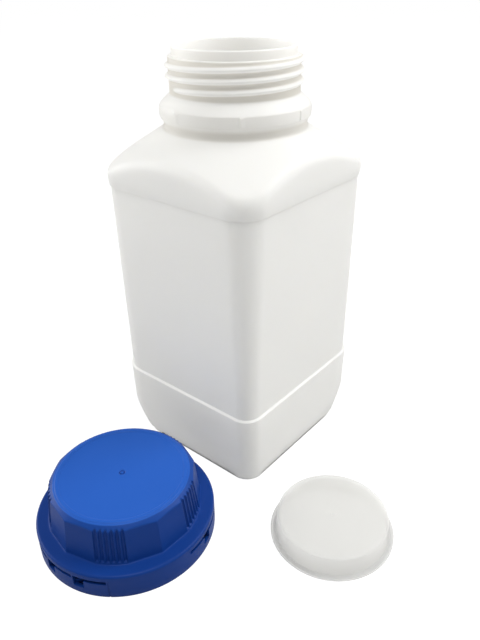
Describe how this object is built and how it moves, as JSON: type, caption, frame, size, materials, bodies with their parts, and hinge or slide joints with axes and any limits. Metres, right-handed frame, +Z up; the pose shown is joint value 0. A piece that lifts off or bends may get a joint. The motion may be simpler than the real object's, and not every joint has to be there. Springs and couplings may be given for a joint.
{
  "type": "plastic bottle",
  "caption": "Square-bodied plastic bottle with a wide threaded neck and ratchet collar, with its tamper-evident screw cap and its inner plug taken off and laid beside it.",
  "frame": {"origin": "centre of the bottle's base, on the surface that all three pieces rest on", "axes": "+Z up along the axis of the bottle's neck; X and Y square to the faces of the bottle; the cap lies towards -Y and the plug towards +X"},
  "size_m": [0.1555, 0.1774, 0.1843],
  "materials": {
    "bottle_plastic": "white blow-moulded polyethylene, satin",
    "cap_plastic": "blue injection-moulded polyethylene, glossy",
    "plug_plastic": "natural translucent polyethylene, satin"
  },
  "bodies": {
    "root": {"bottle": "bottle_plastic", "screw_cap": "cap_plastic", "inner_plug": "plug_plastic"}
  },
  "joints": []
}
